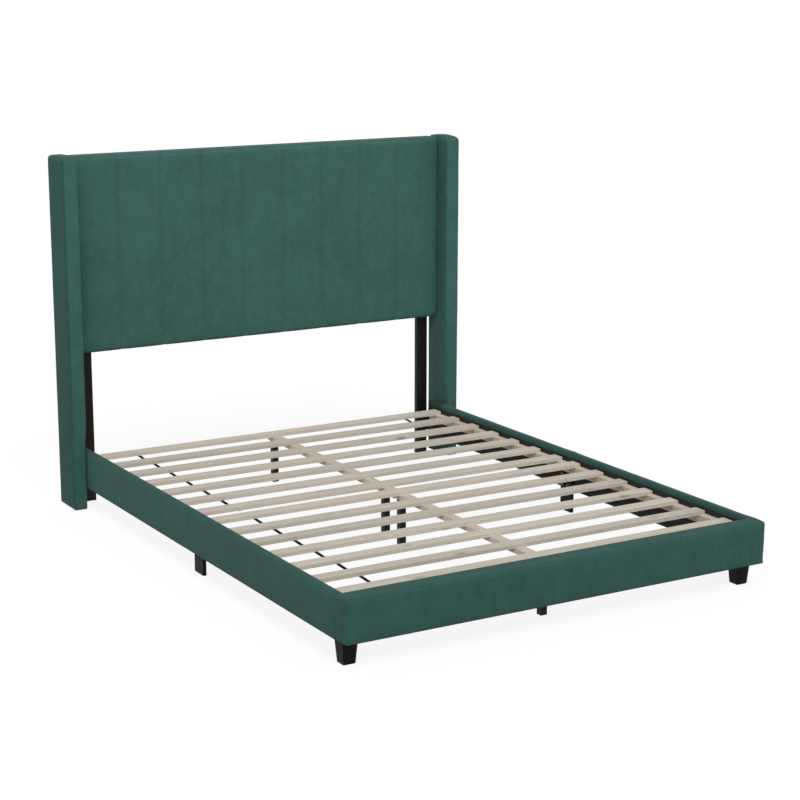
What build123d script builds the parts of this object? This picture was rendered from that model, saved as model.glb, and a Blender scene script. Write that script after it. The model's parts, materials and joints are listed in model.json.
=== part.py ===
from build123d import *
import os

# Upholstered wingback bed frame with a channelled headboard, two wings, padded rails,
# a centre beam and two lift-out slat mats.
# Lengths are in millimetres. X runs across the bed, Y from foot to head, Z up from the floor.
# The origin is on the floor under the middle of the bed.

# The mattress that the frame is made for, and its play
mattress_width = 1524
mattress_length = 2032
side_play = 17
end_play = 26

# Outside of the frame
rail_thickness = 34
footboard_thickness = 66
frame_top = 231
floor_clearance = 84
wing_thickness = 53
wing_depth = 159
headboard_depth = 80
wing_floor_gap = 3
headboard_top = 1353
panel_drop = 4
panel_bottom = 595

# Fabrics and clearances
velvet = 1.5
lining_thickness = 1
soft_gap = 0.3
seat_gap = 0.5
velvet_turn_in = 20
overrun = 5

# Rails and footboard
rail_board = 24
rail_top_pad = 10
underside_pad = 2
rail_edge_radius = 10
rail_end_wrap = 2
underside_radius = 4
footboard_board = 24
footboard_top_pad = 12
footboard_end_pad = 8
footboard_front_radius = 18
footboard_corner_radius = 14
rail_end_gap = 15

# Headboard
channel_seams = 8
channel_pitch = 175.4
channel_depth = 4
pad_depth = 25
pad_top_radius = 18
pad_bottom_radius = 12
pad_corner_radius = 22
pad_shoulder_radius = 12
pad_round_lead = 1
headboard_board = 12
batten_width = 40
back_turn_in = 30
back_cloth_thickness = 1
back_recess = 1.5

# Wings
wing_board = 32
wing_edge_pad = 14
wing_edge_radius = 10
wing_top_radius = 14

# Posts
post_width = 50
post_depth = 20
post_inset = 31
post_overlap = 420

# Slats and their straps
slats_per_mat = 7
slat_width = 50
slat_thickness = 14
slat_foot_room = 67
mat_gap = 68
slat_end_play = 8
slat_edge_radius = 1.5
slat_top = 205
strap_width = 13
strap_thickness = 1.2
strap_inset = 178

# Ledgers
ledger_width = 30
ledger_height = 28
ledger_end_play = 8

# Centre beam and its legs
beam_width = 40
beam_thickness = 18
centre_leg_size = 25
centre_leg_end_inset = 18.5
centre_leg_joint_inset = 57.5
joint_plate_length = 80
bracket_reach = 45
bracket_drop = 48

# Corner and middle legs
corner_leg_top = 55
corner_leg_bottom = 42
corner_leg_side_inset = 50
corner_leg_front_inset = 83.8
corner_block_size = 60
corner_block_height = 74
mid_leg_width = 71
mid_leg_thickness = 12.8
mid_leg_rise = 77

leg_edge_radius = 1.5

# Steel brackets
steel = 3
head_bracket_length = 60
head_bracket_height = 80
head_bracket_top_gap = 49

# Fasteners
bolt_radius = 4
bolt_head_radius = 6.5
bolt_head_height = 5
bolt_socket_radius = 2.5
bolt_socket_depth = 2.5
bolt_bite = 20
hole_clearance = 0.3
screw_radius = 2.5
screw_head_radius = 4.5
screw_head_height = 2.5
screw_bite = 15
hanger_bolt_bite = 32
grip_share = 0.9

# Where the fasteners lie, as shares of the piece that they go through
ledger_screw_shares = (0.05, 0.35, 0.63, 0.95)
bracket_bolt_shares = (0.2, 0.8)
post_flange_share = 0.45
post_bolt_shares = (0.15, 0.5, 0.85)
wing_bolt_shares = (0.1, 0.5, 0.9)
mid_bolt_across_shares = (-0.28, 0.28)
mid_bolt_up_shares = (0.25, 0.75)
corner_side_bolt_shares = (0.2, 0.7)
corner_foot_bolt_shares = (0.45, 0.88)
corner_bolt_reach_share = 0.7
beam_bracket_bolt_shares = (-0.27, 0.27)
joint_screw_shares = (-0.35, -0.15, 0.15, 0.35)
bracket_screw_shares = (0.45, 0.8)

# Places that follow from the sizes above
inner_half = mattress_width / 2 + side_play
outer_half = inner_half + rail_thickness
wing_inner = outer_half + soft_gap
overall_length = footboard_thickness + mattress_length + end_play + headboard_depth
foot = -overall_length / 2
head = overall_length / 2
foot_inner = foot + footboard_thickness
panel_front = head - headboard_depth
panel_top = headboard_top - panel_drop
board_front = panel_front + pad_depth
post_front = board_front + headboard_board
frame_back = head - back_recess - velvet
wing_front = head - wing_depth
rail_foot_end = foot_inner + soft_gap
rail_head_end = post_front - rail_end_gap
middle = (foot_inner + rail_head_end) / 2
slat_bottom = slat_top - slat_thickness
beam_bottom = slat_bottom - beam_thickness
ledger_bottom = slat_bottom - ledger_height
lining_top = frame_top - velvet_turn_in
slats_foot_end = foot_inner + slat_foot_room
mat_length = middle - mat_gap / 2 - slats_foot_end
slats_head_end = middle + mat_gap / 2 + mat_length
slat_pitch = (mat_length - slat_width) / (slats_per_mat - 1)
post_outer = outer_half - post_inset
post_inner = post_outer - post_width
post_top = panel_bottom + post_overlap
skin = velvet + soft_gap
pad_corner_radii = (pad_corner_radius, pad_corner_radius, pad_shoulder_radius, pad_shoulder_radius)
sides = ((-1, "left"), (1, "right"))

os.makedirs("parts", exist_ok=True)


def keep(builder, name):
    """Label a finished piece and write it as its own file."""
    builder.part.label = name
    export_step(builder.part, f"parts/{name}.step")


def outline(sketch, low, high, radii=(0, 0, 0, 0)):
    """Rectangle from low to high; the radii go round from the low corner, anticlockwise."""
    corners = [low, (high[0], low[1]), high, (low[0], high[1])]
    Polygon(*corners, align=None)
    for corner, radius in zip(corners, radii):
        if radius > 0:
            fillet(sketch.vertices().sort_by_distance((*corner, 0))[0], radius)


def block(low, high, mode=Mode.ADD):
    """Plain block between two corners, joined to or cut from the piece being made."""
    centre = tuple((a + b) / 2 for a, b in zip(low, high))
    with Locations(centre):
        Box(*(b - a for a, b in zip(low, high)), mode=mode)


def mirrored(side, x_near, x_far):
    """The X span between two distances from the middle, on one side of the bed."""
    return min(side * x_near, side * x_far), max(side * x_near, side * x_far)


def padded_box(low, high, side_radii, plan_radii, front_radii):
    """Box whose three outlines are rounded: seen along X, from above and along Y."""
    with BuildPart() as form:
        with BuildSketch(Plane.YZ.offset(low[0])) as side_view:
            outline(side_view, low[1:], high[1:], side_radii)
        extrude(amount=high[0] - low[0])
        with BuildSketch(Plane.XY.offset(low[2])) as plan_view:
            outline(plan_view, low[:2], high[:2], plan_radii)
        extrude(amount=high[2] - low[2], mode=Mode.INTERSECT)
        with BuildSketch(Plane.XZ.offset(-high[1])) as front_view:
            outline(front_view, low[::2], high[::2], front_radii)
        extrude(amount=high[1] - low[1], mode=Mode.INTERSECT)
    return form.part


# Fasteners: each place is the point under the head and the way that the shank runs


def bolts(places, length):
    """Socket head bolts with their shanks of one length."""
    for seat, way in places:
        with Locations(Plane(origin=seat, z_dir=way)):
            Cylinder(
                bolt_head_radius,
                bolt_head_height,
                align=(Align.CENTER, Align.CENTER, Align.MAX),
            )
            Cylinder(
                bolt_radius, length, align=(Align.CENTER, Align.CENTER, Align.MIN)
            )
        top = Vector(seat) - Vector(way) * bolt_head_height
        with BuildSketch(Plane(origin=top, z_dir=way)) as socket:
            RegularPolygon(bolt_socket_radius, 6)
        extrude(socket.sketch, amount=bolt_socket_depth, mode=Mode.SUBTRACT)


def screws(places, length):
    """Flat head screws that lie sunk in the wood, flush with its face."""
    for seat, way in places:
        with Locations(Plane(origin=seat, z_dir=way)):
            Cylinder(
                screw_head_radius,
                screw_head_height,
                align=(Align.CENTER, Align.CENTER, Align.MIN),
            )
            Cylinder(
                screw_radius, length, align=(Align.CENTER, Align.CENTER, Align.MIN)
            )


def bores(places, radius, length):
    """Clearance holes for shanks or heads, cut from the piece being made."""
    for seat, way in places:
        with Locations(Plane(origin=seat, z_dir=way)):
            Cylinder(
                radius + hole_clearance,
                length + hole_clearance,
                align=(Align.CENTER, Align.CENTER, Align.MIN),
                mode=Mode.SUBTRACT,
            )


def both(places):
    """The same places on the left and on the right of the bed."""
    return [
        ((side * seat[0], seat[1], seat[2]), (side * way[0], way[1], way[2]))
        for side, _ in sides
        for seat, way in places
    ]


# Bolts through the head brackets and the rails into the wings
bracket_bottom = frame_top - head_bracket_top_gap - head_bracket_height
bracket_bolt_z = [bracket_bottom + head_bracket_height * share for share in bracket_bolt_shares]
wing_foot_bolt_length = (
    steel
    + rail_thickness
    + soft_gap
    + (wing_thickness - wing_board) / 2
    + bolt_bite
)
wing_foot_bolts = both(
    [
        (
            (inner_half - steel, rail_head_end - head_bracket_length / 2, z),
            (1, 0, 0),
        )
        for z in bracket_bolt_z
    ]
)

# Bolts through the head brackets into the posts
post_bracket_bolt_length = steel + post_depth * grip_share
post_bracket_bolts = both(
    [
        ((post_inner + post_width * post_flange_share, post_front - steel, z), (0, 1, 0))
        for z in bracket_bolt_z
    ]
)

# Bolts through the posts into the headboard's plywood, from behind
post_bolt_length = post_depth + headboard_board * grip_share
post_bolts = both(
    [
        (
            (
                (post_inner + post_outer) / 2,
                post_front + post_depth,
                panel_bottom + post_overlap * share,
            ),
            (0, -1, 0),
        )
        for share in post_bolt_shares
    ]
)

# Bolts through the headboard's stiles into the wings, with sunk heads
stile_inner = post_outer + seat_gap
stile_outer = outer_half - skin
wing_bolt_length = (
    wing_inner
    + (wing_thickness - wing_board) / 2
    + bolt_bite
    - stile_inner
    - bolt_head_height
)
wing_bolts = both(
    [
        (
            (
                stile_inner + bolt_head_height,
                (post_front + frame_back) / 2,
                panel_bottom + (panel_top - panel_bottom) * share,
            ),
            (1, 0, 0),
        )
        for share in wing_bolt_shares
    ]
)

# Bolts through the middle legs into both halves of each rail
mid_bolt_length = mid_leg_thickness + lining_thickness + bolt_bite
mid_bolts = both(
    [
        (
            (
                inner_half - mid_leg_thickness,
                middle + mid_leg_width * across,
                floor_clearance + mid_leg_rise * up,
            ),
            (1, 0, 0),
        )
        for across in mid_bolt_across_shares
        for up in mid_bolt_up_shares
    ]
)

# Bolts through the corner blocks into the side rails and into the footboard
corner_bolt_length = corner_block_size + lining_thickness + bolt_bite
corner_side_bolts = both(
    [
        (
            (
                inner_half - corner_block_size,
                foot_inner + corner_block_size * corner_bolt_reach_share,
                floor_clearance + corner_block_height * up,
            ),
            (1, 0, 0),
        )
        for up in corner_side_bolt_shares
    ]
)
corner_foot_bolts = both(
    [
        (
            (
                inner_half - corner_block_size * corner_bolt_reach_share,
                foot_inner + corner_block_size,
                floor_clearance + corner_block_height * up,
            ),
            (0, -1, 0),
        )
        for up in corner_foot_bolt_shares
    ]
)

# Threaded studs that hold the corner legs under their blocks
corner_leg_x = outer_half - corner_leg_side_inset
corner_leg_y = foot + corner_leg_front_inset
hanger_bolts = both(
    [((corner_leg_x, corner_leg_y, floor_clearance - hanger_bolt_bite), (0, 0, 1))]
)
hanger_bolt_length = 2 * hanger_bolt_bite

# Bolts through the beam's foot bracket into the footboard
beam_bracket_bolt_length = steel + lining_thickness + bolt_bite
beam_bracket_bolts = [
    ((beam_width * share, foot_inner + steel, beam_bottom - bracket_drop / 2), (0, -1, 0))
    for share in beam_bracket_bolt_shares
]

# Screws down through the beam into the centre legs
centre_leg_y = (
    slats_foot_end + centre_leg_end_inset,
    middle - centre_leg_joint_inset,
    middle + centre_leg_joint_inset,
    slats_head_end - centre_leg_end_inset,
)
centre_leg_screws = [((0, y, slat_bottom), (0, 0, -1)) for y in centre_leg_y]
centre_leg_screw_length = beam_thickness + 2 * screw_bite

# Screws up through the joint plate and the foot bracket into the beam
beam_plate_screws = [
    ((0, middle + joint_plate_length * share, beam_bottom - steel), (0, 0, 1))
    for share in joint_screw_shares
]
beam_plate_screws += [
    ((0, foot_inner + bracket_reach * share, beam_bottom - steel), (0, 0, 1))
    for share in bracket_screw_shares
]
beam_plate_screw_length = steel + beam_thickness / 2

# Ledger spans in Y, and the screws through them into the rail boards
ledger_spans = {
    "foot": (foot_inner + ledger_end_play, middle - seat_gap / 2),
    "head": (
        middle + seat_gap / 2,
        rail_head_end - head_bracket_length - seat_gap,
    ),
}
ledger_screw_length = ledger_width + lining_thickness + screw_bite
ledger_screws = []
for end, (start, stop) in ledger_spans.items():
    for share in ledger_screw_shares:
        run = (stop - start) * share
        y = start + run if end == "foot" else stop - run
        ledger_screws += both(
            [((inner_half - ledger_width, y, slat_bottom - ledger_height / 2), (1, 0, 0))]
        )


def frame_holes():
    """Every hole that a fastener needs in the boards, linings and covers it passes."""
    bores(wing_foot_bolts, bolt_radius, wing_foot_bolt_length)
    bores(mid_bolts, bolt_radius, mid_bolt_length)
    bores(corner_side_bolts, bolt_radius, corner_bolt_length)
    bores(corner_foot_bolts, bolt_radius, corner_bolt_length)
    bores(beam_bracket_bolts, bolt_radius, beam_bracket_bolt_length)
    bores(ledger_screws, screw_radius, ledger_screw_length)


# Headboard pad, its foam and its velvet cover


def channelled_form(inset, back):
    """Pad with upright channels, drawn in by inset on every side, up to its back face."""
    half = outer_half - inset
    low = panel_bottom + inset
    high = panel_top - inset
    crown = panel_front + inset
    seam = crown + channel_depth
    edges = [-outer_half]
    edges += [(i - (channel_seams - 1) / 2) * channel_pitch for i in range(channel_seams)]
    edges += [outer_half]
    with BuildPart() as form:
        with BuildSketch(Plane.XY.offset(low)):
            with BuildLine():
                for start, stop in zip(edges, edges[1:]):
                    ThreePointArc((start, seam), ((start + stop) / 2, crown), (stop, seam))
                Polyline(
                    (outer_half, seam), (outer_half, back), (-outer_half, back),
                    (-outer_half, seam),
                )
            make_face()
        extrude(amount=high - low)
        # The rounding starts a little in front of the crowns, so that it cuts them cleanly
        with BuildSketch(Plane.YZ.offset(-outer_half)) as side_view:
            outline(
                side_view,
                (crown - pad_round_lead, low),
                (back, high),
                (pad_bottom_radius - inset, 0, 0, pad_top_radius - inset),
            )
        extrude(amount=2 * outer_half, mode=Mode.INTERSECT)
        with BuildSketch(Plane.XZ.offset(-back)) as front_view:
            outline(
                front_view,
                (-half, low),
                (half, high),
                [r - inset for r in pad_corner_radii],
            )
        extrude(amount=back - crown, mode=Mode.INTERSECT)
    return form.part


pad_outside = channelled_form(0, frame_back + velvet)
pad_inside = channelled_form(velvet, frame_back)
post_spans = [mirrored(side, post_inner - seat_gap, post_outer + seat_gap) for side, _ in sides]

with BuildPart() as headboard_cover:
    add(pad_outside)
    add(pad_inside, mode=Mode.SUBTRACT)
    # Window at the back, closed by the back cloth
    block(
        (-outer_half + back_turn_in, frame_back - overrun, panel_bottom + back_turn_in),
        (outer_half - back_turn_in, head + overrun, panel_top - back_turn_in),
        Mode.SUBTRACT,
    )
    # Slits in the underside, where the posts come out
    for x_low, x_high in post_spans:
        block(
            (x_low, post_front - seat_gap, panel_bottom - overrun),
            (x_high, post_front + post_depth + seat_gap, panel_bottom + velvet + overrun),
            Mode.SUBTRACT,
        )
    bores(wing_bolts, bolt_radius, wing_bolt_length)
keep(headboard_cover, "headboard_cover")

with BuildPart() as headboard_foam:
    add(channelled_form(skin, board_front))
keep(headboard_foam, "headboard_foam")

with BuildPart() as headboard_board_piece:
    with BuildSketch(Plane.XZ.offset(-post_front)) as face:
        outline(
            face,
            (-outer_half + skin, panel_bottom + skin),
            (outer_half - skin, panel_top - skin),
            [r - skin for r in pad_corner_radii],
        )
    extrude(amount=headboard_board)
    bores(post_bolts, bolt_radius, post_bolt_length)
keep(headboard_board_piece, "headboard_board")

batten_back = frame_back - soft_gap
top_rail_bottom = panel_top - skin - batten_width
bottom_rail_top = panel_bottom + skin + batten_width

with BuildPart() as headboard_rails:
    with BuildSketch(Plane.XZ.offset(-post_front)) as top_rail:
        shoulder = pad_shoulder_radius - skin
        outline(
            top_rail,
            (-stile_outer, top_rail_bottom),
            (stile_outer, panel_top - skin),
            (0, 0, shoulder, shoulder),
        )
    extrude(amount=post_front - batten_back)
    block(
        (-post_inner + seat_gap, post_front, panel_bottom + skin),
        (post_inner - seat_gap, batten_back, bottom_rail_top),
    )
keep(headboard_rails, "headboard_rails")

with BuildPart() as headboard_stiles:
    for side, _ in sides:
        x_low, x_high = mirrored(side, stile_inner, stile_outer)
        block(
            (x_low, post_front, panel_bottom + pad_corner_radius),
            (x_high, batten_back, top_rail_bottom),
        )
    block(
        (-batten_width / 2, post_front, bottom_rail_top),
        (batten_width / 2, batten_back, top_rail_bottom),
    )
    bores(wing_bolts, bolt_radius, wing_bolt_length)
    sunk_heads = [
        ((seat[0] - way[0] * bolt_head_height, seat[1], seat[2]), way)
        for seat, way in wing_bolts
    ]
    bores(sunk_heads, bolt_head_radius, bolt_head_height - hole_clearance)
keep(headboard_stiles, "headboard_stiles")

with BuildPart() as headboard_back_cloth:
    block(
        (-outer_half + back_turn_in + seat_gap, frame_back, panel_bottom + back_turn_in + seat_gap),
        (
            outer_half - back_turn_in - seat_gap,
            frame_back + back_cloth_thickness,
            panel_top - back_turn_in - seat_gap,
        ),
    )
keep(headboard_back_cloth, "headboard_back_cloth")

# Wings: a board core in a padded velvet cover
for side, name in sides:
    x_low, x_high = mirrored(side, wing_inner, wing_inner + wing_thickness)
    r = wing_edge_radius
    wing_form = padded_box(
        (x_low, wing_front, wing_floor_gap),
        (x_high, head, headboard_top),
        (0, 0, wing_top_radius, wing_top_radius),
        (r, r, r, r),
        (0, 0, r, r),
    )
    pad = (wing_thickness - wing_board) / 2
    core_low = (x_low + pad, wing_front + wing_edge_pad, wing_floor_gap + underside_pad)
    core_high = (x_high - pad, head - wing_edge_pad, headboard_top - wing_edge_pad)
    with BuildPart() as wing_core:
        block(core_low, core_high)
        bores(wing_bolts, bolt_radius, wing_bolt_length)
        bores(wing_foot_bolts, bolt_radius, wing_foot_bolt_length)
    keep(wing_core, f"wing_core_{name}")
    with BuildPart() as wing_cover:
        add(wing_form)
        block(
            (core_low[0], core_low[1], wing_floor_gap - overrun), core_high, Mode.SUBTRACT
        )
        bores(wing_bolts, bolt_radius, wing_bolt_length)
        bores(wing_foot_bolts, bolt_radius, wing_foot_bolt_length)
    keep(wing_cover, f"wing_cover_{name}")

# Posts that carry the headboard
for side, name in sides:
    x_low, x_high = mirrored(side, post_inner, post_outer)
    with BuildPart() as post:
        block((x_low, post_front, 0), (x_high, post_front + post_depth, post_top))
        fillet(post.edges().filter_by(Axis.Z), leg_edge_radius)
        bores(post_bolts, bolt_radius, post_bolt_length)
        bores(post_bracket_bolts, bolt_radius, post_bracket_bolt_length)
    keep(post, f"post_{name}")

# Side rails, each in a foot half and a head half that meet at the middle
rail_spans = {
    "foot": (rail_foot_end, middle - soft_gap / 2),
    "head": (middle + soft_gap / 2, rail_head_end),
}
board_inner = inner_half + lining_thickness
board_outer = board_inner + rail_board
board_bottom = floor_clearance + underside_pad
board_top = frame_top - rail_top_pad

for side, name in sides:
    board_x = mirrored(side, board_inner, board_outer)
    lining_x = mirrored(side, inner_half, board_inner)
    rail_x = mirrored(side, inner_half, outer_half)
    low_radii = (0, underside_radius) if side > 0 else (underside_radius, 0)
    for end, (start, stop) in rail_spans.items():
        with BuildPart() as rail_core:
            block(
                (board_x[0], start + rail_end_wrap, board_bottom),
                (board_x[1], stop - rail_end_wrap, board_top),
            )
            frame_holes()
        keep(rail_core, f"rail_core_{name}_{end}")
        with BuildPart() as rail_cover:
            with BuildSketch(Plane.XZ.offset(-stop)) as section:
                outline(
                    section,
                    (rail_x[0], floor_clearance),
                    (rail_x[1], frame_top),
                    (*low_radii, rail_edge_radius, rail_edge_radius),
                )
            extrude(amount=stop - start)
            block(
                (board_x[0], start + rail_end_wrap, board_bottom),
                (board_x[1], stop - rail_end_wrap, board_top),
                Mode.SUBTRACT,
            )
            block(
                (lining_x[0], start - overrun, floor_clearance - overrun),
                (lining_x[1], stop + overrun, lining_top),
                Mode.SUBTRACT,
            )
            frame_holes()
        keep(rail_cover, f"rail_cover_{name}_{end}")

# Footboard: a board behind thick padding, from one outer face of the rails to the other
footboard_board_front = foot_inner - lining_thickness - footboard_board
footboard_board_half = outer_half - footboard_end_pad
footboard_board_top = frame_top - footboard_top_pad

with BuildPart() as footboard_core:
    block(
        (-footboard_board_half, footboard_board_front, board_bottom),
        (footboard_board_half, foot_inner - lining_thickness, footboard_board_top),
    )
    frame_holes()
keep(footboard_core, "footboard_core")

lining_half = outer_half - rail_thickness / 2
footboard_form = padded_box(
    (-outer_half, foot, floor_clearance),
    (outer_half, foot_inner, frame_top),
    (underside_radius, 0, footboard_top_pad, footboard_front_radius),
    (footboard_corner_radius, footboard_corner_radius, 0, 0),
    (underside_radius, underside_radius, footboard_front_radius, footboard_front_radius),
)
with BuildPart() as footboard_cover:
    add(footboard_form)
    block(
        (-footboard_board_half, footboard_board_front, board_bottom),
        (footboard_board_half, foot_inner - lining_thickness, footboard_board_top),
        Mode.SUBTRACT,
    )
    block(
        (-lining_half, foot_inner - lining_thickness, floor_clearance - overrun),
        (lining_half, foot_inner + overrun, lining_top),
        Mode.SUBTRACT,
    )
    frame_holes()
keep(footboard_cover, "footboard_cover")

# Black linings on the inner faces of the rails and of the footboard
with BuildPart() as inner_linings:
    for side, _ in sides:
        lining_x = mirrored(side, inner_half, board_inner)
        for start, stop in rail_spans.values():
            block((lining_x[0], start, floor_clearance), (lining_x[1], stop, lining_top))
    block(
        (-lining_half, foot_inner - lining_thickness, floor_clearance),
        (lining_half, foot_inner, lining_top),
    )
    frame_holes()
keep(inner_linings, "inner_linings")

# Ledgers that carry the slat ends
for side, name in sides:
    ledger_x = mirrored(side, inner_half - ledger_width, inner_half)
    for end, (start, stop) in ledger_spans.items():
        with BuildPart() as ledger:
            block((ledger_x[0], start, ledger_bottom), (ledger_x[1], stop, slat_bottom))
            bores(ledger_screws, screw_radius, ledger_screw_length)
            bores(ledger_screws, screw_head_radius, screw_head_height)
        keep(ledger, f"ledger_{name}_{end}")

with BuildPart() as ledger_screw_set:
    screws(ledger_screws, ledger_screw_length)
keep(ledger_screw_set, "ledger_screws")

# Steel angle brackets between the rails' head ends and the posts
bracket_top = bracket_bottom + head_bracket_height
with BuildPart() as head_brackets:
    for side, _ in sides:
        on_rail = mirrored(side, inner_half - steel, inner_half)
        on_post = mirrored(side, post_inner + seat_gap, inner_half)
        block(
            (on_rail[0], rail_head_end - head_bracket_length, bracket_bottom),
            (on_rail[1], post_front, bracket_top),
        )
        block(
            (on_post[0], post_front - steel, bracket_bottom),
            (on_post[1], post_front, bracket_top),
        )
    bores(wing_foot_bolts, bolt_radius, wing_foot_bolt_length)
    bores(post_bracket_bolts, bolt_radius, post_bracket_bolt_length)
keep(head_brackets, "head_brackets")

# Flat legs that stand on the floor and join the halves of each rail
for side, name in sides:
    x_low, x_high = mirrored(side, inner_half - mid_leg_thickness, inner_half)
    with BuildPart() as mid_leg:
        block(
            (x_low, middle - mid_leg_width / 2, 0),
            (x_high, middle + mid_leg_width / 2, floor_clearance + mid_leg_rise),
        )
        fillet(mid_leg.edges().filter_by(Axis.Z), leg_edge_radius)
        bores(mid_bolts, bolt_radius, mid_bolt_length)
    keep(mid_leg, f"mid_leg_{name}")

# Corner blocks and the tapered legs under them
with BuildPart() as corner_blocks:
    for side, _ in sides:
        x_low, x_high = mirrored(side, inner_half - corner_block_size, inner_half)
        block(
            (x_low, foot_inner, floor_clearance),
            (x_high, foot_inner + corner_block_size, floor_clearance + corner_block_height),
        )
    bores(corner_side_bolts, bolt_radius, corner_bolt_length)
    bores(corner_foot_bolts, bolt_radius, corner_bolt_length)
    bores(hanger_bolts, bolt_radius, hanger_bolt_length)
keep(corner_blocks, "corner_blocks")

for side, name in sides:
    with BuildPart() as corner_leg:
        with BuildSketch(Plane.XY):
            with Locations((side * corner_leg_x, corner_leg_y)):
                Rectangle(corner_leg_bottom, corner_leg_bottom)
        with BuildSketch(Plane.XY.offset(floor_clearance)):
            with Locations((side * corner_leg_x, corner_leg_y)):
                Rectangle(corner_leg_top, corner_leg_top)
        loft()
        ends = corner_leg.faces().filter_by(Axis.Z)
        fillet(corner_leg.faces().sort_by(Axis.Z)[1:-1].edges() - ends.edges(), leg_edge_radius)
        bores(hanger_bolts, bolt_radius, hanger_bolt_length)
    keep(corner_leg, f"corner_leg_{name}")

with BuildPart() as hanger_bolt_set:
    for seat, way in hanger_bolts:
        with Locations(Plane(origin=seat, z_dir=way)):
            Cylinder(
                bolt_radius,
                hanger_bolt_length,
                align=(Align.CENTER, Align.CENTER, Align.MIN),
            )
keep(hanger_bolt_set, "hanger_bolts")

# Centre beam in two halves, on four square legs
beam_spans = {
    "foot": (foot_inner + seat_gap, middle - seat_gap / 2),
    "head": (middle + seat_gap / 2, slats_head_end),
}
for end, (start, stop) in beam_spans.items():
    with BuildPart() as beam:
        block(
            (-beam_width / 2, start, beam_bottom), (beam_width / 2, stop, slat_bottom)
        )
        bores(centre_leg_screws, screw_radius, centre_leg_screw_length)
        bores(centre_leg_screws, screw_head_radius, screw_head_height)
        bores(beam_plate_screws, screw_radius, beam_plate_screw_length)
    keep(beam, f"beam_{end}")

with BuildPart() as centre_legs:
    for y in centre_leg_y:
        block(
            (-centre_leg_size / 2, y - centre_leg_size / 2, 0),
            (centre_leg_size / 2, y + centre_leg_size / 2, beam_bottom),
        )
    fillet(centre_legs.edges().filter_by(Axis.Z), leg_edge_radius)
    bores(centre_leg_screws, screw_radius, centre_leg_screw_length)
keep(centre_legs, "centre_legs")

with BuildPart() as beam_joint_plate:
    block(
        (-beam_width / 2, middle - joint_plate_length / 2, beam_bottom - steel),
        (beam_width / 2, middle + joint_plate_length / 2, beam_bottom),
    )
    bores(beam_plate_screws, screw_radius, beam_plate_screw_length)
    bores(beam_plate_screws, screw_head_radius, screw_head_height)
keep(beam_joint_plate, "beam_joint_plate")

with BuildPart() as beam_foot_bracket:
    block(
        (-beam_width / 2, foot_inner, beam_bottom - steel),
        (beam_width / 2, foot_inner + bracket_reach, beam_bottom),
    )
    block(
        (-beam_width / 2, foot_inner, beam_bottom - bracket_drop),
        (beam_width / 2, foot_inner + steel, beam_bottom),
    )
    bores(beam_plate_screws, screw_radius, beam_plate_screw_length)
    bores(beam_plate_screws, screw_head_radius, screw_head_height)
    bores(beam_bracket_bolts, bolt_radius, beam_bracket_bolt_length)
keep(beam_foot_bracket, "beam_foot_bracket")

with BuildPart() as beam_screw_set:
    screws(centre_leg_screws, centre_leg_screw_length)
    screws(beam_plate_screws, beam_plate_screw_length)
keep(beam_screw_set, "beam_screws")

# The bolts of the frame, and those of the headboard and its wings
with BuildPart() as frame_bolts:
    bolts(wing_foot_bolts, wing_foot_bolt_length)
    bolts(post_bracket_bolts, post_bracket_bolt_length)
    bolts(mid_bolts, mid_bolt_length)
    bolts(corner_side_bolts, corner_bolt_length)
    bolts(corner_foot_bolts, corner_bolt_length)
    bolts(beam_bracket_bolts, beam_bracket_bolt_length)
keep(frame_bolts, "frame_bolts")

with BuildPart() as headboard_bolts:
    bolts(post_bolts, post_bolt_length)
    bolts(wing_bolts, wing_bolt_length)
keep(headboard_bolts, "headboard_bolts")

# Slats, numbered from the foot, in two mats that are each held by two straps
slat_half = inner_half - slat_end_play
mats = {"foot": slats_foot_end, "head": slats_head_end - mat_length}
number = 0
for mat, mat_start in mats.items():
    for i in range(slats_per_mat):
        start = mat_start + i * slat_pitch
        number += 1
        with BuildPart() as slat:
            with BuildSketch(Plane.YZ.offset(-slat_half)) as section:
                r = slat_edge_radius
                outline(
                    section, (start, slat_bottom), (start + slat_width, slat_top), (0, 0, r, r)
                )
            extrude(amount=2 * slat_half)
        keep(slat, f"slat_{number:02d}")
    with BuildPart() as straps:
        for side, _ in sides:
            centre = side * (inner_half - strap_inset)
            block(
                (centre - strap_width / 2, mat_start + seat_gap, slat_bottom - strap_thickness),
                (centre + strap_width / 2, mat_start + mat_length - seat_gap, slat_bottom),
            )
    keep(straps, f"straps_{mat}")
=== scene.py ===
"""Wingback bed in green velvet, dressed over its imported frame.

The file is laid out as an add-on and run as a script. Each operator makes one piece, or one group
of like pieces, in metres: x runs across the bed, y from its foot to its head, z up from the floor.
"""

import json
import math

import bmesh
import bpy
from bpy.props import FloatProperty, FloatVectorProperty, IntProperty, PointerProperty
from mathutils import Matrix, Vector, noise

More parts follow.
